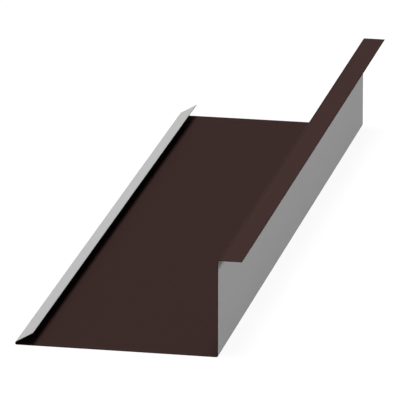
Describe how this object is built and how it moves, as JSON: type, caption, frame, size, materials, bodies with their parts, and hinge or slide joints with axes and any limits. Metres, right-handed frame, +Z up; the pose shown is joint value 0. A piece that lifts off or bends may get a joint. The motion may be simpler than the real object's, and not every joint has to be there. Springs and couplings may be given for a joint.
{
  "type": "roof abutment flashing",
  "caption": "Folded sheet steel flashing for the joint between a roof and a wall: a flat base with an open hem, an upright and an outward lip.",
  "frame": {"origin": "under the middle of the strip, on the level that it rests on: the bottom centre of its bounding box", "axes": "+Y along the strip, +Z up, +X across the roof from the hem towards the masonry"},
  "size_m": [0.279, 1, 0.122],
  "materials": {
    "prepainted_steel": "matte"
  },
  "bodies": {
    "root": {"flashing_sheet": "prepainted_steel"}
  },
  "joints": []
}
